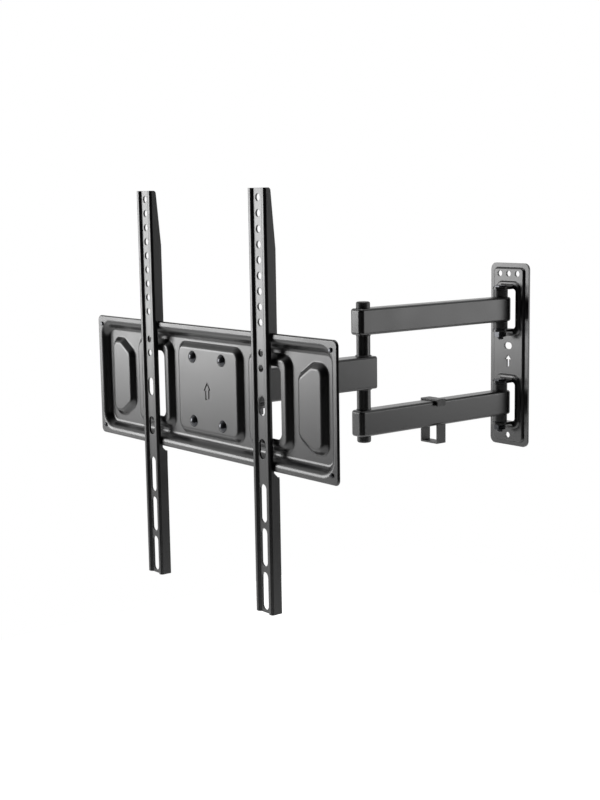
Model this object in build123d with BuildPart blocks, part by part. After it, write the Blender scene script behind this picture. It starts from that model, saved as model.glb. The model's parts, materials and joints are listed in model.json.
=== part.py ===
"""Full motion wall mount for a flat screen: wall plate, twin wall arms, front arm, tilting head, two rails.

X runs to the right seen from the room, Y into the wall and Z up, in millimetres. The origin lies on the
wall plane at the middle of the wall plate, and the arms stand straight out into the room, along -Y.
"""
import os
from math import atan, degrees, tan

from build123d import *

# Clearances and edges
run_gap = 0.05
face_gap = 0.1
seat_gap = 0.3
head_chamfer = 0.6

# Wall plate
wall_plate_width = 62.0
wall_plate_sheet = 2.5
wall_plate_corner = 8.0
end_land = 28.5
panel_rise = 5.0
panel_round = 2.2
panel_slope = 2.5
panel_side_margin = 4.5
panel_end_margin = 4.0
panel_corner = 7.0
boss_width = 40.0
boss_end = 6.5
boss_rise = 2.0
boss_slope = 1.5
boss_corner = 10.0
boss_round = 0.8
window_width = 27.0
window_corner = 4.0
ear_sheet = 3.0
ear_radius = 10.0
ear_bend = 4.0
wall_hole_r = 3.75
wall_hole_pitch = 14.3
wall_hole_inset = 6.5
centre_slot_width = 12.5
centre_slot_height = 8.5
centre_slot_z = 11.5
wall_arrow_length = 15.0
wall_arrow_head = 10.5
wall_arrow_point = 6.0
wall_arrow_stem = 4.0
wall_arrow_drop = 11.0

# Wall arms
arm_spread = 116.0
arm_width = 20.0
arm_height = 30.0
arm_wall = 1.8
arm_length = 226.0
arm_tail = 12.0
arm_edge = 3.0
arm_nose = 11.0
arm_nose_corner = 6.0
arm_end_corner = 5.0
pivot_reach = 19.0
collar_height = 8.4
collar_r = 9.0
collar_spigot_r = 6.0
collar_spigot = 5.0
washer_sheet = 1.0
washer_r = 9.0
pivot_bolt_r = 4.0
pivot_head_flats = 13.0
pivot_head_height = 2.2
pivot_nut_height = 6.5

# Elbow
hub_r = 8.0
elbow_bolt_r = 5.0
elbow_washer_r = 8.5
elbow_head_r = 6.5
elbow_head_height = 4.0
elbow_cap_r = 8.0
elbow_cap_height = 7.5
elbow_cap_edge = 2.0

# Front arm
front_width = 24.0
front_height = 37.0
front_wall = 2.0
front_length = 156.0
front_tail = 10.0
front_edge = 3.0

# Swivel yoke
swivel_bolt_r = 5.0
swivel_head_flats = 17.0
swivel_head_height = 6.4
swivel_nut_height = 8.0
bush_flange_r = 11.0
bush_flange_sheet = 1.5
bush_r = 7.5
bush_depth = 6.0
yoke_sheet = 3.0
yoke_clear = 3.0
yoke_half_width = 22.0
yoke_flange_r = 14.0
yoke_cheek_length = 26.0
yoke_tip_corner = 4.0

# Tilt bracket
tilt_axis_ahead = 33.0
tilt_axis_z = 14.0
tilt_clamp_drop = 30.0
tilt_down = 12.0
tilt_up = 5.0
tilt_bolt_r = 4.0
clamp_bolt_r = 3.0
tilt_head_flats = 13.0
clamp_head_flats = 10.0
tilt_head_height = 5.0
tilt_nut_height = 6.5
tilt_washer_r = 8.0
bracket_sheet = 3.0
bracket_width = 76.0
bracket_height = 84.0
bracket_corner = 6.0
cheek_half_height = 25.0
cheek_corner = 8.0

# Screen plate
rim_ahead = 63.2
plate_width = 424.0
plate_height = 136.0
plate_sheet = 2.0
plate_corner = 6.0
rim_width = 8.5
tray_depth = 8.0
tray_slope = 5.5
tray_corner = 16.0
crest_round = 7.0
floor_round = 5.0
rim_round = 1.8
pad_rise = 5.2
pad_slope = 5.0
pad_corner = 13.0
centre_pad_width = 115.0
centre_pad_height = 98.0
window_pad_width = 70.0
window_pad_height = 96.0
plate_window_width = 45.0
plate_window_height = 72.0
plate_window_corner = 7.0
side_pad_width = 44.0
side_pad_height = 88.0
side_pad_cut_width = 22.0
side_pad_cut_height = 14.0
side_pad_corner = 12.0
side_pad_margin = 8.0
inner_room_share = 0.51
pad_top_round = 5.0
pad_foot_round = 3.0
stop_inset = 9.5
stop_shank_r = 1.5
stop_head_r = 2.4
stop_head = 1.6
stop_head_round = 1.2
stop_tail_r = 2.2
stop_tail = 1.0
plate_bolt_x = 26.0
plate_bolt_z = 34.0
plate_bolt_r = 3.0
plate_bolt_head_r = 6.5
plate_bolt_head = 3.6
plate_nut_flats = 10.0
plate_nut_height = 5.0
stamp_depth = 0.8
stamp_line = 1.6
stamp_length = 19.0
stamp_head = 13.0
stamp_point = 9.5
stamp_stem = 7.0

# Rails
rail_length = 420.0
rail_width = 27.5
rail_depth = 12.4
rail_lip = 4.0
rail_stand = 4.8
rail_sheet = 2.0
rail_inner_bend = 0.5
groove_flat = 12.5
groove_depth = 2.3
groove_slope = 2.2
groove_root_bend = 0.5
rail_spacing = 200.0
rail_drop = 3.0
taper_length = 58.0
taper_depth = 5.0
flange_corner = 3.0
rail_hole_r = 3.7
rail_hole_pitch = 15.0
rail_hole_inset = 9.0
slot_width = 10.0
upper_hole_count = 9
lower_hole_count = 2
short_slot = 20.0
short_slot_places = (211.0, 254.0)
long_slot = 39.0
long_slot_start = 289.0
long_slot_gap = 5.7
notch_run = 8.5
tooth_grip = 3.5

# Rail locks
lock_sheet = 2.5
lock_leg = 9.0
lock_drop = 7.0
lock_screw_r = 2.5
lock_head_r = 4.2
lock_head_height = 3.5
lock_head_edge = 1.2
lock_grip = 3.0

# Cable clip
clip_wall = 2.0
clip_length = 13.5
clip_lip = 6.0
clip_room = 19.0
clip_overlap = 2.0
clip_gap = 0.1
clip_side_gap = 2.2
clip_corner = 1.0
clip_from_pivot = 116.0

# Places that follow from the sizes above
arm_z = arm_spread / 2
ear_inner = arm_height / 2 + washer_sheet + collar_height + face_gap
ear_outer = ear_inner + ear_sheet
wall_plate_height = arm_spread + 2 * (ear_outer + end_land)
panel_width = wall_plate_width - 2 * panel_side_margin
panel_height = wall_plate_height - 2 * panel_end_margin
panel_draft = degrees(atan(panel_slope / panel_rise))
boss_height = 2 * (ear_outer + boss_end)
boss_face = panel_rise + boss_rise
boss_draft = degrees(atan(boss_slope / boss_rise))
wall_hole_z = panel_height / 2 - panel_slope - wall_hole_inset
pivot_y = -pivot_reach
elbow_y = pivot_y - arm_length
swivel_y = elbow_y - front_length
rim_y = swivel_y - rim_ahead
hub_half = arm_z - arm_height / 2 - washer_sheet - face_gap
flange_inner = front_height / 2 + bush_flange_sheet + face_gap
flange_outer = flange_inner + yoke_sheet
web_back = swivel_y - front_width / 2 - yoke_clear
tilt_y = swivel_y - tilt_axis_ahead
clamp_z = tilt_axis_z - tilt_clamp_drop
field_y = rim_y + tray_depth
pad_y = field_y - pad_rise
bracket_y = pad_y + plate_sheet
rail_front_y = rim_y - rail_stand
rail_back_y = rail_front_y + rail_depth
groove_back_y = rail_front_y + groove_depth + rail_sheet

os.makedirs("parts", exist_ok=True)


def save(piece, name):
    """Label a finished piece and write it as its own file."""
    piece.part.label = name
    export_step(piece.part, f"parts/{name}.step")


def hex_bolt(plane, shank_r, length, flats, head_height):
    """A hexagon bolt whose head sits on the plane and whose shank runs back from it."""
    with BuildPart() as bolt:
        with BuildSketch(plane):
            RegularPolygon(flats / 2, 6, major_radius=False)
        extrude(amount=head_height)
        chamfer(bolt.faces().sort_by(Axis(plane.origin, plane.z_dir))[-1].edges(), length=head_chamfer)
        with BuildSketch(plane):
            Circle(shank_r)
        extrude(amount=-length)
    return bolt


def ring(plane, outer_r, inner_r, height):
    """A plain ring standing on the plane, added to the part that is being built."""
    with BuildSketch(plane) as outline:
        Circle(outer_r)
        Circle(inner_r, mode=Mode.SUBTRACT)
    extrude(outline.sketch, amount=height)


def hex_nut(plane, flats, bore_r, height):
    """A hexagon nut standing on the plane, added to the part that is being built."""
    with BuildSketch(plane) as outline:
        RegularPolygon(flats / 2, 6, major_radius=False)
        Circle(bore_r, mode=Mode.SUBTRACT)
    extrude(outline.sketch, amount=height)


def upward(x, y, z):
    """A plane at a point that faces up."""
    return Plane(origin=(x, y, z), x_dir=(1, 0, 0), z_dir=(0, 0, 1))


def downward(x, y, z):
    """A plane at a point that faces down."""
    return Plane(origin=(x, y, z), x_dir=(1, 0, 0), z_dir=(0, 0, -1))


def arrow_points(tip_z, length, head, point, stem):
    """The seven corners of a plain arrow that points up."""
    neck_z = tip_z - point
    foot_z = tip_z - length
    right = [(head / 2, neck_z), (stem / 2, neck_z), (stem / 2, foot_z)]
    left = [(-x, z) for x, z in reversed(right)]
    return [(0, tip_z), *right, *left]


# Wall plate: a pressed plate with a raised panel and, on a boss round each window, an ear above and below
with BuildPart() as wall_plate:
    with BuildSketch(Plane.XZ):
        RectangleRounded(wall_plate_width, wall_plate_height, wall_plate_corner)
    extrude(amount=wall_plate_sheet)
    with BuildSketch(Plane.XZ):
        RectangleRounded(panel_width, panel_height, panel_corner)
    extrude(amount=panel_rise, taper=panel_draft)
    panel_edges = wall_plate.faces().sort_by(Axis.Y)[0].edges()
    fillet(panel_edges, radius=panel_round)
    with BuildSketch(Plane.XZ):
        RectangleRounded(
            panel_width - 2 * wall_plate_sheet,
            panel_height - 2 * wall_plate_sheet,
            panel_corner - wall_plate_sheet,
        )
    extrude(amount=panel_rise - wall_plate_sheet, taper=panel_draft, mode=Mode.SUBTRACT)
    with BuildSketch(Plane.XZ.offset(panel_rise)):
        with Locations((0, arm_z), (0, -arm_z)):
            RectangleRounded(boss_width, boss_height, boss_corner)
    extrude(amount=boss_rise, taper=boss_draft)
    boss_tops = wall_plate.faces().filter_by(Axis.Y).group_by(Axis.Y)[0]
    fillet(boss_tops.edges(), radius=boss_round)
    with BuildSketch(Plane.XZ.offset(panel_rise - wall_plate_sheet)):
        with Locations((0, arm_z), (0, -arm_z)):
            RectangleRounded(
                boss_width - 2 * wall_plate_sheet,
                boss_height - 2 * wall_plate_sheet,
                boss_corner - wall_plate_sheet,
            )
    extrude(amount=boss_rise, taper=boss_draft, mode=Mode.SUBTRACT)
    with BuildSketch(Plane.XZ):
        with Locations((0, arm_z), (0, -arm_z)):
            RectangleRounded(window_width, 2 * ear_inner, window_corner)
        with Locations((-wall_hole_pitch, wall_hole_z), (0, wall_hole_z), (wall_hole_pitch, wall_hole_z)):
            Circle(wall_hole_r)
        with Locations((0, -wall_hole_z)):
            Circle(wall_hole_r)
        with Locations((0, centre_slot_z)):
            SlotOverall(centre_slot_width, centre_slot_height)
        arrow_tip = centre_slot_z - wall_arrow_drop
        wall_arrow = (wall_arrow_length, wall_arrow_head, wall_arrow_point, wall_arrow_stem)
        Polygon(*arrow_points(arrow_tip, *wall_arrow), align=None)
    extrude(amount=boss_face, mode=Mode.SUBTRACT)
    ear_root = boss_face - wall_plate_sheet
    for middle_z in (arm_z, -arm_z):
        for foot_z in (middle_z + ear_inner, middle_z - ear_outer):
            with BuildSketch(Plane.XY.offset(foot_z)):
                with Locations((0, -(pivot_reach + ear_root) / 2)):
                    Rectangle(2 * ear_radius, pivot_reach - ear_root)
                with Locations((0, pivot_y)):
                    Circle(ear_radius)
                    Circle(pivot_bolt_r + run_gap, mode=Mode.SUBTRACT)
            extrude(amount=ear_sheet)
    bend_z = [arm_z + ear_outer, arm_z - ear_outer, -arm_z + ear_outer, -arm_z - ear_outer]
    bends = [
        edge
        for edge in wall_plate.edges().filter_by(Axis.X)
        if abs(edge.center().Y + boss_face) < face_gap
        and min(abs(edge.center().Z - z) for z in bend_z) < face_gap
    ]
    fillet(bends, radius=ear_bend)
save(wall_plate, "wall_plate")

# Wall pivots: one bolt, one nut and two washers for each wall arm
pivot_grip = 2 * ear_outer + pivot_nut_height
for name, middle_z in (("upper", arm_z), ("lower", -arm_z)):
    pivot_bolt = hex_bolt(
        upward(0, pivot_y, middle_z + ear_outer),
        pivot_bolt_r,
        pivot_grip,
        pivot_head_flats,
        pivot_head_height,
    )
    save(pivot_bolt, f"{name}_pivot_bolt")

with BuildPart() as pivot_nuts:
    for middle_z in (arm_z, -arm_z):
        nut_plane = downward(0, pivot_y, middle_z - ear_outer)
        hex_nut(nut_plane, pivot_head_flats, pivot_bolt_r + run_gap, pivot_nut_height)
save(pivot_nuts, "pivot_nuts")

with BuildPart() as pivot_washers:
    for middle_z in (arm_z, -arm_z):
        ring(downward(0, pivot_y, middle_z + ear_inner), washer_r, pivot_bolt_r + run_gap, washer_sheet)
        ring(upward(0, pivot_y, middle_z - ear_inner), washer_r, pivot_bolt_r + run_gap, washer_sheet)
save(pivot_washers, "pivot_washers")

# Wall arms: steel tubes that are closed and rounded at both ends
arm_start_y = pivot_y + arm_nose
arm_end_y = elbow_y - arm_tail
for name, middle_z in (("upper", arm_z), ("lower", -arm_z)):
    with BuildPart() as wall_arm:
        with BuildSketch(Plane.XY.offset(middle_z - arm_height / 2)):
            with Locations((0, (arm_start_y + arm_end_y) / 2)):
                Rectangle(arm_width, arm_start_y - arm_end_y)
        extrude(amount=arm_height)
        fillet(wall_arm.edges().filter_by(Axis.Z).group_by(Axis.Y)[-1], radius=arm_nose_corner)
        fillet(wall_arm.edges().filter_by(Axis.Z).group_by(Axis.Y)[0], radius=arm_end_corner)
        fillet(wall_arm.faces().filter_by(Axis.Z).edges(), radius=arm_edge)
        with BuildSketch(Plane.XY.offset(middle_z - arm_height / 2 + arm_wall)) as bore:
            with Locations((0, (arm_start_y + arm_end_y) / 2)):
                Rectangle(arm_width - 2 * arm_wall, arm_start_y - arm_end_y - 2 * arm_wall)
            fillet(bore.vertices().group_by(Axis.Y)[-1], radius=arm_nose_corner - arm_wall)
            fillet(bore.vertices().group_by(Axis.Y)[0], radius=arm_end_corner - arm_wall)
        extrude(amount=arm_height - 2 * arm_wall, mode=Mode.SUBTRACT)
        with BuildSketch(Plane.XY.offset(middle_z)):
            with Locations((0, pivot_y)):
                Circle(collar_spigot_r + run_gap)
            with Locations((0, elbow_y)):
                Circle(elbow_bolt_r + run_gap)
        extrude(amount=arm_height, both=True, mode=Mode.SUBTRACT)
    save(wall_arm, f"{name}_wall_arm")

# Pivot collars: nylon bushes that fill the gap between each arm and its ears
with BuildPart() as pivot_collars:
    for middle_z in (arm_z, -arm_z):
        for plane in (
            upward(0, pivot_y, middle_z + arm_height / 2),
            downward(0, pivot_y, middle_z - arm_height / 2),
        ):
            ring(plane, collar_r, pivot_bolt_r + run_gap, collar_height)
            ring(plane, collar_spigot_r, pivot_bolt_r + run_gap, -collar_spigot)
save(pivot_collars, "pivot_collars")

# Elbow: sleeves inside the wall arms, a through bolt, washers and two end caps
sleeve_r = arm_width / 2 - arm_wall - face_gap
with BuildPart() as elbow_sleeves:
    for middle_z in (arm_z, -arm_z):
        sleeve_height = arm_height - 2 * arm_wall
        ring(upward(0, elbow_y, middle_z - sleeve_height / 2), sleeve_r, elbow_bolt_r + run_gap, sleeve_height)
save(elbow_sleeves, "elbow_sleeves")

arm_top = arm_z + arm_height / 2
elbow_grip = 2 * arm_top + elbow_head_height
with BuildPart() as elbow_bolt:
    with BuildSketch(Plane.XY.offset(arm_top)):
        with Locations((0, elbow_y)):
            Circle(elbow_head_r)
    extrude(amount=elbow_head_height)
    with BuildSketch(Plane.XY.offset(arm_top)):
        with Locations((0, elbow_y)):
            Circle(elbow_bolt_r)
    extrude(amount=-elbow_grip)
save(elbow_bolt, "elbow_bolt")

with BuildPart() as elbow_nut:
    ring(downward(0, elbow_y, -arm_top), elbow_head_r, elbow_bolt_r + run_gap, elbow_head_height)
save(elbow_nut, "elbow_nut")

for name, plane in (("top", upward(0, elbow_y, arm_top)), ("bottom", downward(0, elbow_y, -arm_top))):
    with BuildPart() as elbow_cap:
        with BuildSketch(plane):
            Circle(elbow_cap_r)
        extrude(amount=elbow_cap_height)
        crown = elbow_cap.faces().sort_by(Axis(plane.origin, plane.z_dir))[-1]
        fillet(crown.edges(), radius=elbow_cap_edge)
        with BuildSketch(plane):
            Circle(elbow_head_r + face_gap)
        extrude(amount=elbow_head_height + face_gap, mode=Mode.SUBTRACT)
    save(elbow_cap, f"elbow_{name}_cap")

with BuildPart() as elbow_washers:
    ring(upward(0, elbow_y, hub_half + face_gap), elbow_washer_r, elbow_bolt_r + run_gap, washer_sheet)
    ring(downward(0, elbow_y, -hub_half - face_gap), elbow_washer_r, elbow_bolt_r + run_gap, washer_sheet)
save(elbow_washers, "elbow_washers")

# Cable clip: a plastic hook over the lower arm with a square loop under it
clip_y = pivot_y - clip_from_pivot
clip_inner = arm_width / 2 + clip_side_gap
clip_outer = clip_inner + clip_wall
clip_top = -arm_z + arm_height / 2 + clip_gap
clip_arm_low = -arm_z - arm_height / 2
clip_floor = clip_arm_low - clip_room
with BuildPart() as cable_clip:
    with BuildSketch(Plane.XZ.offset(-clip_y - clip_length / 2)):
        with BuildLine():
            Polyline(
                (clip_outer, clip_top - clip_lip),
                (clip_outer, clip_top + clip_wall),
                (-clip_outer, clip_top + clip_wall),
                (-clip_outer, clip_floor - clip_wall),
                (clip_outer, clip_floor - clip_wall),
                (clip_outer, clip_arm_low + clip_overlap),
                (clip_inner, clip_arm_low + clip_overlap),
                (clip_inner, clip_floor),
                (-clip_inner, clip_floor),
                (-clip_inner, clip_top),
                (clip_inner, clip_top),
                (clip_inner, clip_top - clip_lip),
                close=True,
            )
        make_face()
    extrude(amount=clip_length)
    long_edges = cable_clip.edges().filter_by(Axis.Y)
    corners = long_edges.filter_by(lambda e: abs(abs(e.center().X) - clip_outer) < face_gap)
    fillet(corners.group_by(Axis.Z)[0] + corners.group_by(Axis.Z)[-1], radius=clip_corner)
save(cable_clip, "cable_clip")

# Front arm: a taller tube that carries the elbow hub at one end and the swivel bushes at the other
front_end_y = elbow_y + front_tail
with BuildPart() as front_arm:
    with BuildSketch(Plane.XY.offset(-front_height / 2)):
        with Locations((0, (swivel_y + front_end_y) / 2)):
            Rectangle(front_width, front_end_y - swivel_y)
        with Locations((0, swivel_y)):
            Circle(front_width / 2)
    extrude(amount=front_height)
    rims = front_arm.faces().filter_by(Axis.Z).edges()
    fillet(rims.filter_by_position(Axis.Y, rim_y, front_end_y - face_gap), radius=front_edge)
    with BuildSketch(Plane.XY.offset(-front_height / 2 + front_wall)):
        with Locations((0, (swivel_y + front_end_y) / 2)):
            Rectangle(front_width - 2 * front_wall, front_end_y - swivel_y)
        with Locations((0, swivel_y)):
            Circle(front_width / 2 - front_wall)
    extrude(amount=front_height - 2 * front_wall, mode=Mode.SUBTRACT)
    with BuildSketch(Plane.XY):
        with Locations((0, swivel_y)):
            Circle(bush_r + run_gap)
        with Locations((0, elbow_y)):
            Circle(hub_r + run_gap)
    extrude(amount=front_height, both=True, mode=Mode.SUBTRACT)
save(front_arm, "front_arm")

with BuildPart() as elbow_hub:
    ring(upward(0, elbow_y, -hub_half), hub_r, elbow_bolt_r + run_gap, 2 * hub_half)
save(elbow_hub, "elbow_hub")

with BuildPart() as swivel_bushes:
    for plane in (upward(0, swivel_y, front_height / 2), downward(0, swivel_y, -front_height / 2)):
        ring(plane, bush_flange_r, swivel_bolt_r + run_gap, bush_flange_sheet)
        ring(plane, bush_r, swivel_bolt_r + run_gap, -bush_depth)
save(swivel_bushes, "swivel_bushes")

# Swivel yoke: two flanges over and under the front arm, a web ahead of it and two cheeks for the tilt
cheek_front = web_back - yoke_sheet - yoke_cheek_length
with BuildPart() as swivel_yoke:
    with BuildSketch(Plane.XZ.offset(-web_back)):
        Rectangle(2 * yoke_half_width, 2 * flange_outer)
    extrude(amount=yoke_sheet)
    for foot_z in (flange_inner, -flange_outer):
        with BuildSketch(Plane.XY.offset(foot_z)):
            with Locations((0, (swivel_y + web_back) / 2)):
                Rectangle(2 * yoke_flange_r, swivel_y - web_back)
            with Locations((0, swivel_y)):
                Circle(yoke_flange_r)
                Circle(swivel_bolt_r + run_gap, mode=Mode.SUBTRACT)
        extrude(amount=yoke_sheet)
    for side in (1, -1):
        with BuildSketch(Plane.YZ.offset(side * yoke_half_width)):
            with Locations(((web_back + cheek_front) / 2, 0)):
                Rectangle(web_back - cheek_front, 2 * flange_outer)
            with Locations((tilt_y, tilt_axis_z)):
                Circle(tilt_bolt_r + run_gap, mode=Mode.SUBTRACT)
            with Locations((tilt_y, clamp_z)):
                Circle(clamp_bolt_r + run_gap, mode=Mode.SUBTRACT)
        extrude(amount=-side * yoke_sheet)
    tips = swivel_yoke.edges().filter_by(Axis.X).filter_by_position(
        Axis.Y, cheek_front - face_gap, cheek_front + face_gap
    )
    fillet(tips, radius=yoke_tip_corner)
save(swivel_yoke, "swivel_yoke")

swivel_grip = 2 * flange_outer + swivel_nut_height
swivel_bolt = hex_bolt(
    upward(0, swivel_y, flange_outer),
    swivel_bolt_r,
    swivel_grip,
    swivel_head_flats,
    swivel_head_height,
)
save(swivel_bolt, "swivel_bolt")

with BuildPart() as swivel_nut:
    nut_plane = downward(0, swivel_y, -flange_outer)
    hex_nut(nut_plane, swivel_head_flats, swivel_bolt_r + run_gap, swivel_nut_height)
save(swivel_nut, "swivel_nut")

# Tilt bracket: a base behind the screen plate with two cheeks outside the yoke's cheeks
cheek_in = yoke_half_width + face_gap
cheek_out = cheek_in + bracket_sheet
cheek_back = web_back - face_gap
cheek_root = bracket_y + bracket_sheet
slot_middle = (tilt_down - tilt_up) / 2
slot_sweep = tilt_down + tilt_up + 2 * degrees(run_gap / tilt_clamp_drop)
with BuildPart() as tilt_bracket:
    with BuildSketch(Plane.XZ.offset(-cheek_root)):
        RectangleRounded(bracket_width, bracket_height, bracket_corner)
        with GridLocations(2 * plate_bolt_x, 2 * plate_bolt_z, 2, 2):
            Circle(plate_bolt_r + run_gap, mode=Mode.SUBTRACT)
    extrude(amount=bracket_sheet)
    for side in (1, -1):
        with BuildSketch(Plane.YZ.offset(side * cheek_in)):
            with Locations(((cheek_back + bracket_y) / 2, 0)):
                Rectangle(cheek_back - bracket_y, 2 * cheek_half_height)
            with Locations((tilt_y, tilt_axis_z)):
                Circle(tilt_bolt_r + run_gap, mode=Mode.SUBTRACT)
            with BuildLine(mode=Mode.PRIVATE):
                slot_path = CenterArc(
                    (tilt_y, tilt_axis_z),
                    tilt_clamp_drop,
                    -90 - slot_middle - slot_sweep / 2,
                    slot_sweep,
                )
            SlotArc(slot_path, 2 * (clamp_bolt_r + seat_gap), mode=Mode.SUBTRACT)
        extrude(amount=side * bracket_sheet)
    tips = tilt_bracket.edges().filter_by(Axis.X).filter_by_position(
        Axis.Y, cheek_back - face_gap, cheek_back + face_gap
    )
    fillet(tips, radius=cheek_corner)
save(tilt_bracket, "tilt_bracket")

# Tilt bolt and clamp bolt: both cross all four cheeks, with a washer under each end
tilt_head_x = cheek_out + face_gap + washer_sheet
tilt_grip = 2 * tilt_head_x + tilt_nut_height
crossing_bolts = (
    ("tilt_bolt", tilt_axis_z, tilt_bolt_r, tilt_head_flats),
    ("tilt_clamp_bolt", clamp_z, clamp_bolt_r, clamp_head_flats),
)
for name, axis_z, shank_r, flats in crossing_bolts:
    head_plane = Plane(origin=(tilt_head_x, tilt_y, axis_z), x_dir=(0, 1, 0), z_dir=(1, 0, 0))
    save(hex_bolt(head_plane, shank_r, tilt_grip, flats, tilt_head_height), name)

with BuildPart() as tilt_nuts:
    for _, axis_z, shank_r, flats in crossing_bolts:
        nut_plane = Plane(origin=(-tilt_head_x, tilt_y, axis_z), x_dir=(0, 1, 0), z_dir=(-1, 0, 0))
        hex_nut(nut_plane, flats, shank_r + run_gap, tilt_nut_height)
save(tilt_nuts, "tilt_nuts")

with BuildPart() as tilt_washers:
    for _, axis_z, shank_r, _ in crossing_bolts:
        for side in (1, -1):
            inner = Plane(origin=(side * tilt_head_x, tilt_y, axis_z), x_dir=(0, 1, 0), z_dir=(-side, 0, 0))
            ring(inner, tilt_washer_r, shank_r + run_gap, washer_sheet)
save(tilt_washers, "tilt_washers")

# Screen plate: a pressed tray with a flat rim, five raised pads and two windows
rim_plane = Plane.XZ.offset(-rim_y)
tray_width = plate_width - 2 * rim_width
tray_height = plate_height - 2 * rim_width
tray_draft = degrees(atan(tray_slope / tray_depth))
pad_draft = degrees(atan(pad_slope / pad_rise))
pocket_inset = plate_sheet * tan(atan(pad_rise / pad_slope) / 2)
stop_spread = (plate_width - 2 * stop_inset, plate_height - 2 * stop_inset)
side_pad_x = tray_width / 2 - tray_slope - side_pad_margin - side_pad_width / 2
pad_room = side_pad_x - side_pad_width / 2 - centre_pad_width / 2 - window_pad_width
window_pad_x = (centre_pad_width + window_pad_width) / 2 + inner_room_share * pad_room
pads = [(0, centre_pad_width, centre_pad_height)]
pads += [(side * window_pad_x, window_pad_width, window_pad_height) for side in (1, -1)]


def side_pad_corners(side, shrink):
    """The corners of a side pad, with its two inner corners cut off."""
    half_width = side_pad_width / 2 - shrink
    half_height = side_pad_height / 2 - shrink
    inner_x = side * (side_pad_x - half_width)
    outer_x = side * (side_pad_x + half_width)
    cut_x = inner_x + side * side_pad_cut_width
    cut_z = half_height - side_pad_cut_height
    upper = [(outer_x, half_height), (cut_x, half_height), (inner_x, cut_z)]
    lower = [(x, -z) for x, z in reversed(upper)]
    return upper + lower


def pad_shape(plane, shrink, height, mode):
    """All five pads, drawn on a plane and raised or cut towards the room."""
    for middle_x, width, tall in pads:
        with BuildSketch(plane) as outline:
            with Locations((middle_x, 0)):
                RectangleRounded(width - 2 * shrink, tall - 2 * shrink, pad_corner - shrink)
        extrude(outline.sketch, amount=height, taper=pad_draft, mode=mode)
    for side in (1, -1):
        with BuildSketch(plane) as outline:
            Polygon(*side_pad_corners(side, shrink), align=None)
            fillet(outline.vertices(), radius=side_pad_corner - shrink)
        extrude(outline.sketch, amount=height, taper=pad_draft, mode=mode)


with BuildPart() as screen_plate:
    with BuildSketch(rim_plane):
        RectangleRounded(plate_width, plate_height, plate_corner)
    extrude(amount=-plate_sheet)
    with BuildSketch(rim_plane):
        RectangleRounded(tray_width + 2 * plate_sheet, tray_height + 2 * plate_sheet, tray_corner + plate_sheet)
    extrude(amount=-tray_depth - plate_sheet, taper=tray_draft)
    with BuildSketch(rim_plane):
        RectangleRounded(tray_width, tray_height, tray_corner)
    extrude(amount=-tray_depth, taper=tray_draft, mode=Mode.SUBTRACT)
    tray_floor = screen_plate.faces().filter_by(Axis.Y).filter_by_position(
        Axis.Y, field_y - face_gap, field_y + face_gap
    )
    fillet(tray_floor.edges(), radius=floor_round)
    rim_face = screen_plate.faces().sort_by(Axis.Y)[0]
    crest = rim_face.inner_wires().edges()
    rim_edge = rim_face.outer_wire().edges()
    fillet(crest, radius=crest_round)
    fillet(rim_edge, radius=rim_round)
    pad_shape(Plane.XZ.offset(-field_y), 0, pad_rise, Mode.ADD)
    field = screen_plate.faces().filter_by(Axis.Y).filter_by_position(
        Axis.Y, field_y - face_gap, field_y + face_gap
    ).filter_by(lambda face: face.normal_at().Y < 0)
    fillet(field.sort_by(SortBy.AREA)[-1].inner_wires().edges(), radius=pad_foot_round)
    pad_tops = screen_plate.faces().filter_by(Axis.Y).filter_by_position(
        Axis.Y, pad_y - face_gap, pad_y + face_gap
    ).filter_by(lambda face: face.normal_at().Y < 0)
    fillet(pad_tops.edges(), radius=pad_top_round)
    pad_shape(Plane.XZ.offset(-field_y - plate_sheet), pocket_inset, pad_rise, Mode.SUBTRACT)
    with BuildSketch(rim_plane):
        with Locations((window_pad_x, 0), (-window_pad_x, 0)):
            RectangleRounded(plate_window_width, plate_window_height, plate_window_corner)
        with GridLocations(2 * plate_bolt_x, 2 * plate_bolt_z, 2, 2):
            Circle(plate_bolt_r + run_gap)
        with GridLocations(*stop_spread, 2, 2):
            Circle(stop_shank_r + run_gap)
    extrude(amount=-tray_depth - plate_sheet, mode=Mode.SUBTRACT)
    with BuildSketch(Plane.XZ.offset(-pad_y)):
        stamp = (stamp_length, stamp_head, stamp_point, stamp_stem)
        Polygon(*arrow_points(stamp_length / 2, *stamp), align=None)
        offset(amount=-stamp_line, mode=Mode.SUBTRACT)
    extrude(amount=-stamp_depth, mode=Mode.SUBTRACT)
save(screen_plate, "screen_plate")

# Rail stops: a small rivet in each corner of the rim, so that a rail can't slide off the end
with BuildPart() as rail_stops:
    with BuildSketch(rim_plane):
        with GridLocations(*stop_spread, 2, 2):
            Circle(stop_head_r)
    extrude(amount=stop_head)
    stop_crowns = rail_stops.faces().filter_by(Axis.Y).group_by(Axis.Y)[0]
    fillet(stop_crowns.edges(), radius=stop_head_round)
    with BuildSketch(rim_plane):
        with GridLocations(*stop_spread, 2, 2):
            Circle(stop_shank_r)
    extrude(amount=-plate_sheet)
    with BuildSketch(rim_plane.offset(-plate_sheet)):
        with GridLocations(*stop_spread, 2, 2):
            Circle(stop_tail_r)
    extrude(amount=-stop_tail)
save(rail_stops, "rail_stops")

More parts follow.
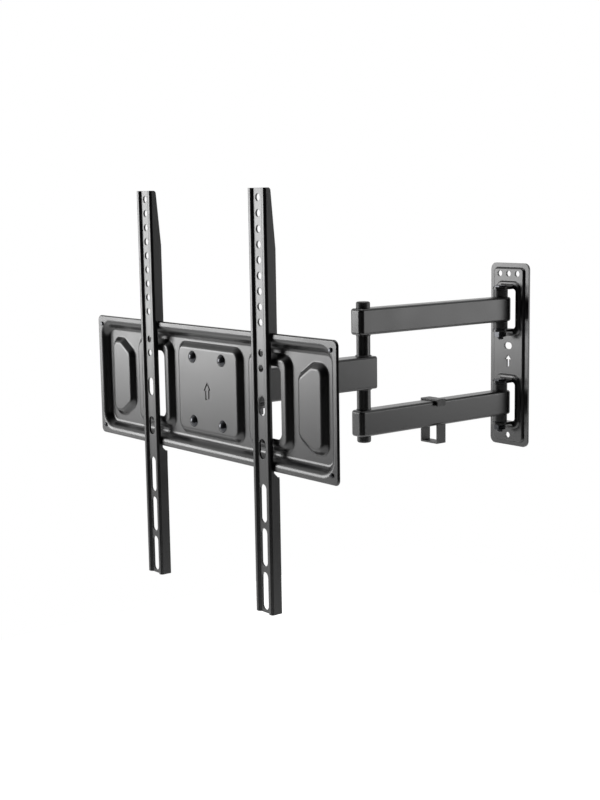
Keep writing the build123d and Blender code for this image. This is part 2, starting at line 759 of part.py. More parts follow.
# Plate bolts: four domed heads on the middle pad, with nuts behind the tilt bracket
with BuildPart() as plate_bolts:
    for bolt_x in (-plate_bolt_x, plate_bolt_x):
        for bolt_z in (-plate_bolt_z, plate_bolt_z):
            crown = (bolt_x, pad_y - plate_bolt_head)
            brim = (bolt_x + plate_bolt_head_r, pad_y)
            with BuildSketch(Plane.XY.offset(bolt_z)):
                with BuildLine():
                    TangentArc(crown, brim, tangent=(1, 0))
                    Polyline(brim, (bolt_x, pad_y), crown)
                make_face()
            revolve(axis=Axis((bolt_x, 0, bolt_z), (0, 1, 0)))
    with BuildSketch(Plane.XZ.offset(-pad_y)):
        with GridLocations(2 * plate_bolt_x, 2 * plate_bolt_z, 2, 2):
            Circle(plate_bolt_r)
    extrude(amount=-plate_sheet - bracket_sheet - plate_nut_height)
save(plate_bolts, "plate_bolts")

with BuildPart() as plate_nuts:
    with BuildSketch(Plane.XZ.offset(-cheek_root)):
        with GridLocations(2 * plate_bolt_x, 2 * plate_bolt_z, 2, 2):
            RegularPolygon(plate_nut_flats / 2, 6, major_radius=False)
            Circle(plate_bolt_r + run_gap, mode=Mode.SUBTRACT)
    extrude(amount=-plate_nut_height)
save(plate_nuts, "plate_nuts")

# Rails: folded strips with a grooved face, a row of holes and slots, a lip on the left and a deep flange
# on the right that hangs on the screen plate
rail_top = rail_length / 2 - rail_drop
long_slot_pitch = long_slot + long_slot_gap
long_slot_count = int((rail_length - long_slot_start + long_slot_gap) / long_slot_pitch)
groove_half = groove_flat / 2
rail_bend = rail_sheet + rail_inner_bend
plate_top = plate_height / 2
tooth_y = rim_y + plate_sheet + seat_gap


def rail_hole_places():
    """Heights of the round holes, counted down from the rail's top."""
    upper = [rail_hole_inset + n * rail_hole_pitch for n in range(upper_hole_count)]
    lower_start = upper[-1] + 2 * rail_hole_pitch
    lower = [lower_start + n * rail_hole_pitch for n in range(lower_hole_count)]
    return [rail_top - place for place in upper + lower]


for name, side in (("left", -1), ("right", 1)):
    rail_x = side * rail_spacing / 2
    with BuildPart() as rail:
        with BuildSketch(Plane.XY.offset(rail_top - rail_length)):
            with BuildLine():
                FilletPolyline(
                    (rail_x - rail_width / 2, rail_front_y + rail_lip),
                    (rail_x - rail_width / 2, rail_front_y),
                    (rail_x - groove_half - groove_slope, rail_front_y),
                    (rail_x - groove_half, rail_front_y + groove_depth),
                    (rail_x + groove_half, rail_front_y + groove_depth),
                    (rail_x + groove_half + groove_slope, rail_front_y),
                    (rail_x + rail_width / 2, rail_front_y),
                    (rail_x + rail_width / 2, rail_back_y),
                    radius=[
                        rail_bend,
                        rail_bend,
                        groove_root_bend,
                        groove_root_bend,
                        rail_bend,
                        rail_bend,
                    ],
                )
                offset(amount=rail_sheet, side=Side.LEFT)
            make_face()
        extrude(amount=rail_length)
        with BuildSketch(Plane.YZ.offset(rail_x)):
            Polygon(
                (rail_back_y, rail_top),
                (rail_back_y - taper_depth, rail_top),
                (rail_back_y, rail_top - taper_length),
                align=None,
            )
            Polygon(
                (rim_y - face_gap, plate_top + face_gap),
                (tooth_y, plate_top + face_gap),
                (tooth_y, plate_top - tooth_grip),
                (rail_back_y, plate_top - tooth_grip),
                (rail_back_y, -plate_top - notch_run),
                (rim_y - face_gap, -plate_top - seat_gap),
                align=None,
            )
        extrude(amount=rail_width, both=True, mode=Mode.SUBTRACT)
        top_edges = rail.edges().filter_by(Axis.X).group_by(Axis.Z)[-1]
        fillet(top_edges.group_by(Axis.Y)[-1], radius=flange_corner)
        with BuildSketch(Plane.XZ.offset(-rail_front_y - rail_sheet)):
            for place in rail_hole_places():
                with Locations((rail_x, place)):
                    Circle(rail_hole_r)
            for place in short_slot_places:
                with Locations((rail_x, rail_top - place)):
                    SlotOverall(short_slot, slot_width, rotation=90)
            for n in range(long_slot_count):
                with Locations((rail_x, rail_top - long_slot_start - long_slot / 2 - n * long_slot_pitch)):
                    SlotOverall(long_slot, slot_width, rotation=90)
        extrude(amount=rail_stand, both=True, mode=Mode.SUBTRACT)
    save(rail, f"{name}_rail")

    # Lock bracket: a bent strap on the inside of the flange that reaches under the plate's bottom rim
    flange_x = rail_x + rail_width / 2 - rail_sheet
    lock_z = -plate_top - lock_drop
    lock_front_y = groove_back_y + seat_gap
    screw_x = flange_x - lock_sheet - lock_head_r - seat_gap
    screw_y = rim_y + plate_sheet + lock_screw_r + seat_gap
    shelf_end_x = screw_x - lock_head_r - seat_gap
    with BuildPart() as lock_bracket:
        with BuildSketch(Plane.XZ.offset(-lock_front_y)):
            with BuildLine():
                Polyline(
                    (flange_x, lock_z),
                    (flange_x, lock_z - lock_leg),
                    (flange_x - lock_sheet, lock_z - lock_leg),
                    (flange_x - lock_sheet, lock_z - lock_sheet),
                    (shelf_end_x, lock_z - lock_sheet),
                    (shelf_end_x, lock_z),
                    close=True,
                )
            make_face()
        extrude(amount=lock_front_y - screw_y - lock_head_r)
        with BuildSketch(Plane.XY.offset(lock_z)):
            with Locations((screw_x, screw_y)):
                Circle(lock_screw_r + run_gap)
        extrude(amount=-lock_sheet, mode=Mode.SUBTRACT)
    save(lock_bracket, f"{name}_lock_bracket")

    # Lock screw: it rises through the bracket and stands behind the rim
    with BuildPart() as lock_screw:
        with BuildSketch(Plane.XY.offset(lock_z - lock_sheet)):
            with Locations((screw_x, screw_y)):
                Circle(lock_head_r)
        extrude(amount=-lock_head_height)
        fillet(lock_screw.faces().sort_by(Axis.Z)[0].edges(), radius=lock_head_edge)
        with BuildSketch(Plane.XY.offset(lock_z - lock_sheet)):
            with Locations((screw_x, screw_y)):
                Circle(lock_screw_r)
        extrude(amount=lock_sheet + lock_drop + lock_grip)
    save(lock_screw, f"{name}_lock_screw")
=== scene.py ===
# %% [markdown]
# # A full motion wall mount for a flat screen
# The real object is folded and pressed steel under a satin black powder coat: a wall plate, two arms on
# an elbow, a front arm, and a screen plate that swivels, tilts and carries two slotted rails. The shapes
# and joints are already in the solid model, so this lesson loads it as a fixed frame, gives every surface
# its finish, and adds the small details that a maker sees up close.

# %% Load the frame
import json
import math

import bmesh
import bpy
from mathutils import Matrix, Vector


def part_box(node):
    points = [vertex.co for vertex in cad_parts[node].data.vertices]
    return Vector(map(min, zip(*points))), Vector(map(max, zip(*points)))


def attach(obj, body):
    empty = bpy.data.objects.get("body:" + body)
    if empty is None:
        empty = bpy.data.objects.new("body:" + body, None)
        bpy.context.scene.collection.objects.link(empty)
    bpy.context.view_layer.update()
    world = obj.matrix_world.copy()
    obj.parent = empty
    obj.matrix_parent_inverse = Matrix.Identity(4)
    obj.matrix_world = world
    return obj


MM = 0.001

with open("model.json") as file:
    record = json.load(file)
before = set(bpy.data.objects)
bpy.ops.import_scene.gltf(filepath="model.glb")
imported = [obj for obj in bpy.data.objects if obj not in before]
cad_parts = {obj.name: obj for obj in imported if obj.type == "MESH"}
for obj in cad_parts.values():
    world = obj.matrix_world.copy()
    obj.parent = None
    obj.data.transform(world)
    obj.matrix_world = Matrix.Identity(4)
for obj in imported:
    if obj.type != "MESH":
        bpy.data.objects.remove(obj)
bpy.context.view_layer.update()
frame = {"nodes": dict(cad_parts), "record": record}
nodes = frame["nodes"]

# %% [markdown]
# ## Helpers for every finish
# Colours are written as sRGB hex values, the way a paint chart gives them, and one function turns them
# into the linear numbers that the renderer adds up. Another adds a node to a material: it takes the
# node's kind, its settings, and for each input either a value or a socket to link from. Nodes could also
# be placed by hand in the editor, but written down like this a finish reads from top to bottom.


# %% Colour and node helpers
def paint(hex_code):
    """A linear colour with alpha, from an sRGB hex code."""
    shares = [int(hex_code[i:i + 2], 16) / 255 for i in (1, 3, 5)]
    return [s / 12.92 if s <= 0.04045 else ((s + 0.055) / 1.055) ** 2.4 for s in shares] + [1.0]


def add_node(tree, kind, inputs=None, **settings):
    """Adds a node, applies its settings, then sets or links its inputs."""
    node = tree.nodes.new(kind)
    for name, value in settings.items():
        setattr(node, name, value)
    for key, value in (inputs or {}).items():
        if isinstance(value, bpy.types.NodeSocket):
            tree.links.new(value, node.inputs[key])
        else:
            node.inputs[key].default_value = value
    return node


def new_finish(name):
    """A material without nodes, and its tree."""
    finish = bpy.data.materials.new(name)
    finish.use_nodes = True
    finish.node_tree.nodes.clear()
    return finish, finish.node_tree


print("mid grey #808080 is", round(paint("#808080")[0], 3), "in linear light")

# %% [markdown]
# ## Black powder coat on steel
# Powder is sprayed on dry and melts in an oven, so it flows into a smooth skin with a faint orange peel
# a few millimetres across and a finer grit under it. A scanned picture of paint could be wrapped around
# each piece. Noise on Object coordinates is used instead, because it has no seams and keeps one real
# size on every piece: a broad cloud for uneven gloss, the peel, and the grit.

# %% Powder coat: patterns
CLOUD_SIZE = 45 * MM
PEEL_SIZE = 2.5 * MM
# Real grit is about a tenth of a millimetre. It is drawn as coarse as it needs to show.
GRIT_SIZE = 0.7 * MM

powder_coat, tree = new_finish("black_powder_coat_on_steel")
place = add_node(tree, "ShaderNodeTexCoord").outputs["Object"]
cloud = add_node(tree, "ShaderNodeTexNoise", {"Vector": place, "Scale": 1 / CLOUD_SIZE, "Detail": 3.0})
peel = add_node(tree, "ShaderNodeTexNoise", {"Vector": place, "Scale": 1 / PEEL_SIZE, "Detail": 1.0})
grit = add_node(tree, "ShaderNodeTexNoise", {"Vector": place, "Scale": 1 / GRIT_SIZE, "Detail": 2.0})
print("powder coat: peel", round(PEEL_SIZE / MM, 1), "mm and grit", round(GRIT_SIZE / MM, 1), "mm across")

# %% [markdown]
# The coat rounds every cut edge by about half a millimetre. Real bevels would cost thousands of faces, so
# the Bevel node bends the normals there and shows each edge as a thin bright line. The peel and the grit
# then tip those normals a little.

# %% Powder coat: edges and relief
COAT_EDGE = 0.5 * MM
EDGE_SAMPLES = 4
PEEL_RISE = 0.2 * MM
GRIT_RISE = 0.05 * MM
COAT_RELIEF = 0.06

coat_edge = add_node(tree, "ShaderNodeBevel", {"Radius": COAT_EDGE}, samples=EDGE_SAMPLES)
peel_bump = add_node(
    tree,
    "ShaderNodeBump",
    {
        "Strength": COAT_RELIEF,
        "Distance": PEEL_RISE,
        "Height": peel.outputs["Fac"],
        "Normal": coat_edge.outputs["Normal"],
    },
)
grit_bump = add_node(
    tree,
    "ShaderNodeBump",
    {
        "Strength": COAT_RELIEF,
        "Distance": GRIT_RISE,
        "Height": grit.outputs["Fac"],
        "Normal": peel_bump.outputs["Normal"],
    },
)
print("powder coat: edges rounded by", round(COAT_EDGE / MM, 1), "mm")

# %% [markdown]
# The paint is nearly black in itself, and what the eye sees is the clear, satin reflection on top. So the
# base is very dark, and the roughness is low and a little uneven. Most of a noise lies between 0.3 and
# 0.7, so that part of it is spread over the range of the roughness.

# %% Powder coat: colour and gloss
NOISE_LOW = 0.3
NOISE_HIGH = 0.7
COAT_SMOOTH = 0.28
COAT_ROUGH = 0.33
COAT_IOR = 1.6

coat_tone = add_node(
    tree,
    "ShaderNodeMix",
    {"Factor": cloud.outputs["Fac"], "A": paint("#0b0b0c"), "B": paint("#121213")},
    data_type="RGBA",
)
satin = add_node(
    tree,
    "ShaderNodeMapRange",
    {
        "Value": cloud.outputs["Fac"],
        "From Min": NOISE_LOW,
        "From Max": NOISE_HIGH,
        "To Min": COAT_SMOOTH,
        "To Max": COAT_ROUGH,
    },
)
coat = add_node(
    tree,
    "ShaderNodeBsdfPrincipled",
    {
        "Base Color": coat_tone.outputs["Result"],
        "Roughness": satin.outputs["Result"],
        "IOR": COAT_IOR,
        "Normal": grit_bump.outputs["Normal"],
    },
)
add_node(tree, "ShaderNodeOutputMaterial", {"Surface": coat.outputs["BSDF"]})
print("powder coat:", len(tree.nodes), "nodes")

# %% [markdown]
# ## Black zinc on the fasteners
# Bolts, nuts and washers are plated and then dyed black, so they stay metal: a dark mirror with a slight
# blue grey, crisper than the paint, with fine rolling marks. A grey paint would look flat on them. So the
# base is a dark metal, not fully metallic because the dye on top isn't metal, and the roughness is low.

# %% Black zinc: patterns and edges
STAIN_SIZE = 6 * MM
# Rolling marks are finer on a real bolt. They are drawn as coarse as they need to show.
MARK_SIZE = 0.5 * MM
MARK_RISE = 0.04 * MM
MARK_RELIEF = 0.08
ZINC_EDGE = 0.3 * MM

black_zinc, tree = new_finish("black_zinc_plated_steel")
place = add_node(tree, "ShaderNodeTexCoord").outputs["Object"]
stain = add_node(tree, "ShaderNodeTexNoise", {"Vector": place, "Scale": 1 / STAIN_SIZE, "Detail": 3.0})
marks = add_node(tree, "ShaderNodeTexNoise", {"Vector": place, "Scale": 1 / MARK_SIZE, "Detail": 2.0})
zinc_edge = add_node(tree, "ShaderNodeBevel", {"Radius": ZINC_EDGE}, samples=EDGE_SAMPLES)
mark_bump = add_node(
    tree,
    "ShaderNodeBump",
    {
        "Strength": MARK_RELIEF,
        "Distance": MARK_RISE,
        "Height": marks.outputs["Fac"],
        "Normal": zinc_edge.outputs["Normal"],
    },
)
print("black zinc: edges rounded by", round(ZINC_EDGE / MM, 1), "mm")

# %% Black zinc: colour and gloss
ZINC_SMOOTH = 0.16
ZINC_ROUGH = 0.24
ZINC_METAL = 0.7

zinc_tone = add_node(
    tree,
    "ShaderNodeMix",
    {"Factor": stain.outputs["Fac"], "A": paint("#363739"), "B": paint("#46474b")},
    data_type="RGBA",
)
gloss = add_node(
    tree,
    "ShaderNodeMapRange",
    {
        "Value": stain.outputs["Fac"],
        "From Min": NOISE_LOW,
        "From Max": NOISE_HIGH,
        "To Min": ZINC_SMOOTH,
        "To Max": ZINC_ROUGH,
    },
)
plating = add_node(
    tree,
    "ShaderNodeBsdfPrincipled",
    {
        "Base Color": zinc_tone.outputs["Result"],
        "Metallic": ZINC_METAL,
        "Roughness": gloss.outputs["Result"],
        "Normal": mark_bump.outputs["Normal"],
    },
)
add_node(tree, "ShaderNodeOutputMaterial", {"Surface": plating.outputs["BSDF"]})
print("black zinc:", len(tree.nodes), "nodes")

# %% [markdown]
# ## Moulded nylon
# Collars, caps, bushes and the cable clip are moulded in black nylon. A mould that has been spark eroded
# leaves a fine, even grain, so the plastic is duller and softer than the paint beside it. Higher
# roughness alone would do from afar. The grain is added for close views.

# %% Moulded nylon: patterns and edges
FLOW_SIZE = 12 * MM
# Mould grain is finer on real nylon. It is drawn as coarse as it needs to show.
GRAIN_SIZE = 0.6 * MM
GRAIN_RISE = 0.06 * MM
GRAIN_RELIEF = 0.12
NYLON_EDGE = 0.6 * MM

nylon, tree = new_finish("moulded_black_nylon")
place = add_node(tree, "ShaderNodeTexCoord").outputs["Object"]
flow = add_node(tree, "ShaderNodeTexNoise", {"Vector": place, "Scale": 1 / FLOW_SIZE, "Detail": 2.0})
grain = add_node(tree, "ShaderNodeTexNoise", {"Vector": place, "Scale": 1 / GRAIN_SIZE, "Detail": 2.0})
nylon_edge = add_node(tree, "ShaderNodeBevel", {"Radius": NYLON_EDGE}, samples=EDGE_SAMPLES)
grain_bump = add_node(
    tree,
    "ShaderNodeBump",
    {
        "Strength": GRAIN_RELIEF,
        "Distance": GRAIN_RISE,
        "Height": grain.outputs["Fac"],
        "Normal": nylon_edge.outputs["Normal"],
    },
)
print("moulded nylon: edges rounded by", round(NYLON_EDGE / MM, 1), "mm")

# %% Moulded nylon: colour and gloss
NYLON_SMOOTH = 0.40
NYLON_ROUGH = 0.48
NYLON_IOR = 1.53

nylon_tone = add_node(
    tree,
    "ShaderNodeMix",
    {"Factor": flow.outputs["Fac"], "A": paint("#0e0e0f"), "B": paint("#171718")},
    data_type="RGBA",
)
dull = add_node(
    tree,
    "ShaderNodeMapRange",
    {
        "Value": flow.outputs["Fac"],
        "From Min": NOISE_LOW,
        "From Max": NOISE_HIGH,
        "To Min": NYLON_SMOOTH,
        "To Max": NYLON_ROUGH,
    },
)
moulding = add_node(
    tree,
    "ShaderNodeBsdfPrincipled",
    {
        "Base Color": nylon_tone.outputs["Result"],
        "Roughness": dull.outputs["Result"],
        "IOR": NYLON_IOR,
        "Normal": grain_bump.outputs["Normal"],
    },
)
add_node(tree, "ShaderNodeOutputMaterial", {"Surface": moulding.outputs["BSDF"]})
print("moulded nylon:", len(tree.nodes), "nodes")

# %% [markdown]
# ## Dress the solid pieces
# The record says which finish each piece has. A solid piece whose shape is right could be modelled again
# as a mesh, but it would gain nothing, so it keeps its own mesh and only gets the new material.

# %% Give each solid piece its finish
FINISH_OF_SLOT = {
    "black_powder_coat": powder_coat,
    "black_zinc": black_zinc,
    "black_plastic": nylon,
}
for part in frame["record"]["subparts"]:
    mesh = nodes[part["node"]].data
    mesh.materials.clear()
    mesh.materials.append(FINISH_OF_SLOT[part["material_slot"]])

# %% [markdown]
# ## One way to finish a new piece
# Each detail below is a small bmesh that operators have shaped in place. One helper turns it into an
# object: it points the faces outwards, shades them smooth up to a sharp edge, gives the piece the finish
# of a slot in the record, and lets it ride on the body that it belongs to. Some operators list their new
# faces in another order each time, so corners and faces are first sorted by where they are. Then every
# run gives the same mesh.

# %% Finish a new piece
SHARP_EDGE = math.radians(35)


def sort_by(items, place):
    """Puts the corners or faces of a bmesh in the order of their places."""
    rank = {item: number for number, item in enumerate(sorted(items, key=place))}
    items.sort(key=rank.get)


def finish_piece(form, name, body, slot):
    """An object from a bmesh, with its normals, finish, body and material slot."""
    sort_by(form.verts, lambda vert: tuple(vert.co))
    sort_by(form.faces, lambda face: tuple(face.calc_center_median()))
    bmesh.ops.recalc_face_normals(form, faces=form.faces)
    for face in form.faces:
        face.smooth = True
    for edge in form.edges:
        edge.smooth = len(edge.link_faces) == 2 and edge.calc_face_angle() < SHARP_EDGE
    mesh = bpy.data.meshes.new(name)
    form.to_mesh(mesh)
    form.free()
    mesh.materials.append(FINISH_OF_SLOT[slot])
    piece = bpy.data.objects.new(name, mesh)
    bpy.context.scene.collection.objects.link(piece)
    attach(piece, body)
    print(name, "has", len(mesh.polygons), "faces")


print("edges over", round(math.degrees(SHARP_EDGE)), "degrees stay sharp")

# %% [markdown]
# ## Weld beads
# The elbow hub is a length of tube that passes through the front arm and is welded to it above and
# below. A hand-laid bead is a rounded ring with a ripple for each pause of the torch. A plain torus would
# look machined, so a small circle is spun around the hub and the ring then swells in waves along the seam.

# %% A weld bead
BEAD_R = 1.0 * MM
BEAD_SIT = 0.3 * MM
BEAD_SIDES = 12
BEAD_STEPS = 168
BEAD_RIPPLES = 28
RIPPLE_SHARE = 0.10


def weld_bead(form, centre, tube_r, up):
    """A rippled ring in the corner between a tube and the flat face that it stands on."""
    ring = bmesh.ops.create_circle(form, segments=BEAD_SIDES, radius=BEAD_R)["verts"]
    bmesh.ops.rotate(form, verts=ring, matrix=Matrix.Rotation(math.pi / 2, 3, "X"))
    bmesh.ops.translate(form, verts=ring, vec=centre + Vector((tube_r + BEAD_SIT, 0, up * BEAD_SIT)))
    edges = list(dict.fromkeys(edge for vert in ring for edge in vert.link_edges))
    before = set(form.verts) - set(ring)
    bmesh.ops.spin(
        form,
        geom=ring + edges,
        cent=centre,
        axis=(0, 0, 1),
        angle=2 * math.pi,
        steps=BEAD_STEPS,
        use_merge=True,
    )
    for vert in set(form.verts) - before:
        turn = math.atan2(vert.co.y - centre.y, vert.co.x - centre.x)
        seam = centre + Vector((math.cos(turn), math.sin(turn), 0)) * (tube_r + BEAD_SIT)
        vert.co = seam + (vert.co - seam) * (1 + RIPPLE_SHARE * math.sin(BEAD_RIPPLES * turn))


print("a bead is", round(2 * BEAD_R / MM, 1), "mm thick with", BEAD_RIPPLES, "ripples")

# %% Weld beads at the elbow hub
hub_low, hub_high = (Vector(corner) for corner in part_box("elbow_hub"))
arm_low, arm_high = (Vector(corner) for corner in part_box("front_arm"))
hub_centre = (hub_low + hub_high) / 2
hub_r = (hub_high.x - hub_low.x) / 2
beads = bmesh.new()
for face_z, up in ((arm_high.z, 1), (arm_low.z, -1)):
    weld_bead(beads, Vector((hub_centre.x, hub_centre.y, face_z)), hub_r, up)
finish_piece(beads, "hub_weld_beads", "front_arm", "black_powder_coat")

# %% [markdown]
# ## Bolt tips
# A bolt is a little longer than it has to be, so two turns of its thread show past the nut. The solid
# bolts end level with their nuts, so each tip is a new piece. Stacked rings would pass for a thread from
# afar, but a real one climbs. So the tip is a short rod with a chamfered end, and a three-sided ridge that
# a spin with a lift winds around it. Its sizes are shares of the pitch, the distance between two turns.

# %% The rod of a bolt tip
TIP_TURNS = 2.25
STEPS_PER_TURN = 32
THREAD_DEPTH = 0.6
TIP_CHAMFER = 0.5


def tip_rod(form, major_r, pitch):
    """A rod along Z from the origin, as thick as the thread is at its root, with a chamfered end."""
    core_r = major_r - THREAD_DEPTH * pitch
    length = (TIP_TURNS + TIP_CHAMFER) * pitch
    core = bmesh.ops.create_cone(
        form,
        cap_ends=True,
        segments=STEPS_PER_TURN,
        radius1=core_r,
        radius2=core_r,
        depth=length,
    )["verts"]
    bmesh.ops.translate(form, verts=core, vec=(0, 0, length / 2))
    end = [vert for vert in core if vert.co.z > length / 2]
    end_edges = [edge for edge in form.edges if edge.verts[0] in end and edge.verts[1] in end]
    bmesh.ops.bevel(
        form,
        geom=end_edges,
        offset=TIP_CHAMFER * pitch,
        affect="EDGES",
        segments=1,
        profile=0.5,
        material=-1,
    )


print("a tip is", TIP_TURNS + TIP_CHAMFER, "pitches long")

# %% The ridge of a bolt tip
RIDGE_R = 0.52


def tip_ridge(form, major_r, pitch):
    """A closed triangle wound up along Z, with its point at the thread's outer radius."""
    ridge = bmesh.ops.create_circle(form, segments=3, radius=RIDGE_R * pitch)["verts"]
    bmesh.ops.rotate(form, verts=ridge, matrix=Matrix.Rotation(-math.pi / 2, 3, "Z"))
    bmesh.ops.rotate(form, verts=ridge, matrix=Matrix.Rotation(math.pi / 2, 3, "X"))
    outer_x = max(vert.co.x for vert in ridge)
    bmesh.ops.translate(form, verts=ridge, vec=(major_r - outer_x, 0, 0))
    edges = list(dict.fromkeys(edge for vert in ridge for edge in vert.link_edges))
    last = bmesh.ops.spin(
        form,
        geom=ridge + edges,
        cent=(0, 0, 0),
        axis=(0, 0, 1),
        dvec=(0, 0, pitch / STEPS_PER_TURN),
        angle=2 * math.pi * TIP_TURNS,
        steps=int(STEPS_PER_TURN * TIP_TURNS),
    )["geom_last"]
    for loop in (edges, [item for item in last if isinstance(item, bmesh.types.BMEdge)]):
        bmesh.ops.contextual_create(form, geom=loop)


print("a ridge has", int(STEPS_PER_TURN * TIP_TURNS), "steps")

# %% [markdown]
# Every tip is made along Z and then turned to where its bolt points. The place could be typed in, but it
# is read from the solid bolt's box, so that a tip stays on its nut when the bolt moves or gets longer.


# %% Place a bolt tip
def bolt_tip(form, base, way, major_r, pitch):
    """Two turns of thread from a nut's face outwards."""
    before = set(form.verts)
    tip_rod(form, major_r, pitch)
    tip_ridge(form, major_r, pitch)
    turn = Vector((0, 0, 1)).rotation_difference(Vector(way)).to_matrix().to_4x4()
    new = list(set(form.verts) - before)
    bmesh.ops.transform(form, matrix=Matrix.Translation(base) @ turn, verts=new)


def end_of(node, way):
    """The middle of a bolt's box, moved along its axis to the end that points the given way."""
    low, high = (Vector(corner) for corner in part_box(node))
    return (low + high) / 2 + Vector([w * r for w, r in zip(way, (high - low) / 2)])


# Outer radius and pitch of each thread, and the ways that bolts point.
M6 = (3.0 * MM, 1.0 * MM)
M8 = (4.0 * MM, 1.25 * MM)
M10 = (5.0 * MM, 1.5 * MM)
DOWN = (0, 0, -1)
LEFT = (-1, 0, 0)
BACK = (0, 1, 0)
print("the swivel bolt ends at", [round(c / MM, 1) for c in end_of("swivel_bolt", DOWN)], "mm")

# %% Tips of the pivot bolts and the yoke's bolts
tips = bmesh.new()
for bolt in ("upper_pivot_bolt", "lower_pivot_bolt"):
    bolt_tip(tips, end_of(bolt, DOWN), DOWN, *M8)
finish_piece(tips, "pivot_bolt_tips", "wall", "black_zinc")

tips = bmesh.new()
bolt_tip(tips, end_of("swivel_bolt", DOWN), DOWN, *M10)
bolt_tip(tips, end_of("tilt_bolt", LEFT), LEFT, *M8)
bolt_tip(tips, end_of("tilt_clamp_bolt", LEFT), LEFT, *M6)
finish_piece(tips, "yoke_bolt_tips", "yoke", "black_zinc")

# %% Tips of the plate bolts
# The four plate bolts are one piece, so its box gives only their middle, and their spacing is set here.
PLATE_BOLT_X = 26 * MM
PLATE_BOLT_Z = 34 * MM

tips = bmesh.new()
nut_back = end_of("plate_bolts", BACK)
for x in (PLATE_BOLT_X, -PLATE_BOLT_X):
    for z in (PLATE_BOLT_Z, -PLATE_BOLT_Z):
        bolt_tip(tips, nut_back + Vector((x, 0, z)), BACK, *M6)
finish_piece(tips, "plate_bolt_tips", "head", "black_zinc")

# %% [markdown]
# ## Studio
# A wall mount is photographed in the air, on white. The floor lies well below it, so that only a faint
# soft shadow reaches it. The white behind the object could come from strong lamps, but they would wash
# the black out. It comes from a glow that the floor has only for the camera, for mirrors and for glass:
# the paint reflects it, and no other light from it falls on the object.

# %% Floor
FLOOR_DROP = 0.75
FLOOR_HALF = 1.5
FLOOR_Y = -0.25

sheet = bmesh.new()
bmesh.ops.create_grid(sheet, x_segments=1, y_segments=1, size=FLOOR_HALF)
floor_mesh = bpy.data.meshes.new("studio_floor")
sheet.to_mesh(floor_mesh)
sheet.free()
floor = bpy.data.objects.new("studio_floor", floor_mesh)
floor.location = (0, FLOOR_Y, -FLOOR_DROP)
bpy.context.scene.collection.objects.link(floor)
print("floor", 2 * FLOOR_HALF, "m wide,", FLOOR_DROP, "m below the middle of the wall plate")

# %% Floor finish
FLOOR_GLOW = 0.8

floor_finish, tree = new_finish("pale_floor")
ray = add_node(tree, "ShaderNodeLightPath")
mirrored = add_node(
    tree,
    "ShaderNodeMath",
    {0: ray.outputs["Is Glossy Ray"], 1: ray.outputs["Is Transmission Ray"]},
    operation="MAXIMUM",
)
seen = add_node(
    tree,
    "ShaderNodeMath",
    {0: ray.outputs["Is Camera Ray"], 1: mirrored.outputs[0]},
    operation="MAXIMUM",
)
matt = add_node(tree, "ShaderNodeBsdfDiffuse", {"Color": paint("#e6e6e6")})
white = add_node(tree, "ShaderNodeEmission", {"Color": paint("#ffffff"), "Strength": FLOOR_GLOW})
lit = add_node(tree, "ShaderNodeAddShader", {0: matt.outputs[0], 1: white.outputs[0]})
either = add_node(
    tree,
    "ShaderNodeMixShader",
    {0: seen.outputs[0], 1: matt.outputs[0], 2: lit.outputs[0]},
)
add_node(tree, "ShaderNodeOutputMaterial", {"Surface": either.outputs[0]})
floor_mesh.materials.append(floor_finish)
print("pale floor:", len(tree.nodes), "nodes")

# %% [markdown]
# The world is a white sweep behind the object that darkens towards the side where the camera stands, as
# in a real studio. Black satin paint shows nothing but what it mirrors, so this gradient draws the dark
# lines down every bend that faces the camera; an even white world would leave the bends flat. Mirror rays
# see the sweep with its back at full white, the light that falls on the object comes from a dimmer copy,
# and the camera itself sees plain white.

# %% World: the sweep
CAMERA_SIDE = (0.78, -0.62, 0.0)
BACK_AS_LIGHT = 0.8
BACK_IN_MIRRORS = 1.0
DARK_SIDE = 0.015
SWEEP_START = -0.5
SWEEP_END = 0.55

world = bpy.data.worlds.new("white_sweep")
bpy.context.scene.world = world
world.use_nodes = True
tree = world.node_tree
tree.nodes.clear()
ray = add_node(tree, "ShaderNodeLightPath")
direction = add_node(tree, "ShaderNodeTexCoord")
towards = add_node(
    tree,
    "ShaderNodeVectorMath",
    {0: direction.outputs["Generated"], 1: CAMERA_SIDE},
    operation="DOT_PRODUCT",
)
back = add_node(
    tree,
    "ShaderNodeMapRange",
    {"Value": ray.outputs["Is Glossy Ray"], "To Min": BACK_AS_LIGHT, "To Max": BACK_IN_MIRRORS},
)
sweep = add_node(
    tree,
    "ShaderNodeMapRange",
    {
        "Value": towards.outputs["Value"],
        "From Min": SWEEP_START,
        "From Max": SWEEP_END,
        "To Min": back.outputs["Result"],
        "To Max": DARK_SIDE,
    },
    interpolation_type="SMOOTHSTEP",
)
print("sweep from", BACK_IN_MIRRORS, "behind to", DARK_SIDE, "on the camera's side")

# %% World: what the camera sees
PLAIN_WHITE = 1.0

seen = add_node(
    tree,
    "ShaderNodeMath",
    {0: ray.outputs["Is Camera Ray"], 1: ray.outputs["Is Transmission Ray"]},
    operation="MAXIMUM",
)
level = add_node(
    tree,
    "ShaderNodeMix",
    {"Factor": seen.outputs[0], "A": sweep.outputs["Result"], "B": PLAIN_WHITE},
    data_type="FLOAT",
)
glow = add_node(
    tree,
    "ShaderNodeBackground",
    {"Color": paint("#ffffff"), "Strength": level.outputs["Result"]},
)
add_node(tree, "ShaderNodeOutputWorld", {"Surface": glow.outputs[0]})
print("world:", len(tree.nodes), "nodes")

# %% [markdown]
# Three soft boxes do the rest. One stands in front on the left, where the rails and the plate mirror it,
# with its lower edge near the object's foot, so that those faces fade from light to dark on the way down.
# One stands behind on the right, where the sides of the arms look, and one hangs above for the upper
# edges. Small lamps would show as hot spots in the satin paint, so all three are wide.


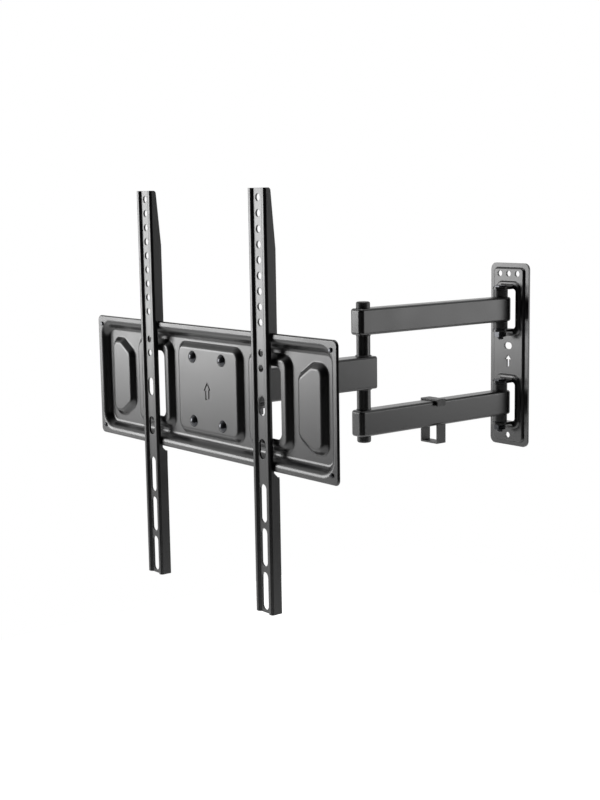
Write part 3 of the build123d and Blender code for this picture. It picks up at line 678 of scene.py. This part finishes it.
# %% Soft boxes
def soft_box(name, place, aim, width, height, radiance):
    """A rectangular lamp that faces a point, with its power worked out from how bright it looks."""
    lamp = bpy.data.lights.new(name, "AREA")
    lamp.shape = "RECTANGLE"
    lamp.size = width
    lamp.size_y = height
    lamp.energy = radiance * math.pi * width * height
    box = bpy.data.objects.new(name, lamp)
    box.location = place
    box.rotation_euler = (Vector(aim) - Vector(place)).to_track_quat("-Z", "Y").to_euler()
    box.visible_camera = False
    bpy.context.scene.collection.objects.link(box)
    print(name, "gives", round(lamp.energy, 1), "W")


soft_box(
    "front_left_box",
    place=(-1.85, -1.95, 0.18),
    aim=(0, -0.46, 0.18),
    width=1.0,
    height=0.88,
    radiance=9.8,
)
soft_box(
    "back_right_box",
    place=(1.45, 1.45, 0.10),
    aim=(0, -0.15, 0.10),
    width=1.0,
    height=0.9,
    radiance=2.9,
)
soft_box(
    "top_box",
    place=(0.2, -0.2, 1.7),
    aim=(0, -0.25, 0),
    width=1.2,
    height=1.2,
    radiance=2.2,
)

# %% [markdown]
# ## Camera
# The view could be set by eye, but then no edge would quite fit. It was worked out from the edges of the
# object itself: the camera stands to the right and a little above, and looks down by eight degrees. Its
# focal length is given in pixels of a picture that is 600 wide.

# %% Camera
FOCAL_PIXELS = 1350.8
PICTURE_WIDTH = 600
SENSOR = 36.0
TURN = math.radians(51.27)
DIP = math.radians(8.38)
ROLL = math.radians(-0.91)
STAND = Vector((1.14275, -1.25475, 0.19377))

ahead = Vector((-math.sin(TURN) * math.cos(DIP), math.cos(TURN) * math.cos(DIP), -math.sin(DIP)))
level_right = Vector((math.cos(TURN), math.sin(TURN), 0))
level_up = level_right.cross(ahead)
right = level_right * math.cos(ROLL) + level_up * math.sin(ROLL)
up = level_up * math.cos(ROLL) - level_right * math.sin(ROLL)
lens = bpy.data.cameras.new("photo_view")
lens.sensor_fit = "HORIZONTAL"
lens.sensor_width = SENSOR
lens.lens = FOCAL_PIXELS / PICTURE_WIDTH * SENSOR
camera = bpy.data.objects.new("photo_view", lens)
camera.matrix_world = Matrix.Translation(STAND) @ Matrix((right, up, -ahead)).transposed().to_4x4()
bpy.context.scene.collection.objects.link(camera)
bpy.context.scene.camera = camera
bpy.context.scene.view_settings.view_transform = "Standard"
print("lens", round(lens.lens, 2), "mm")
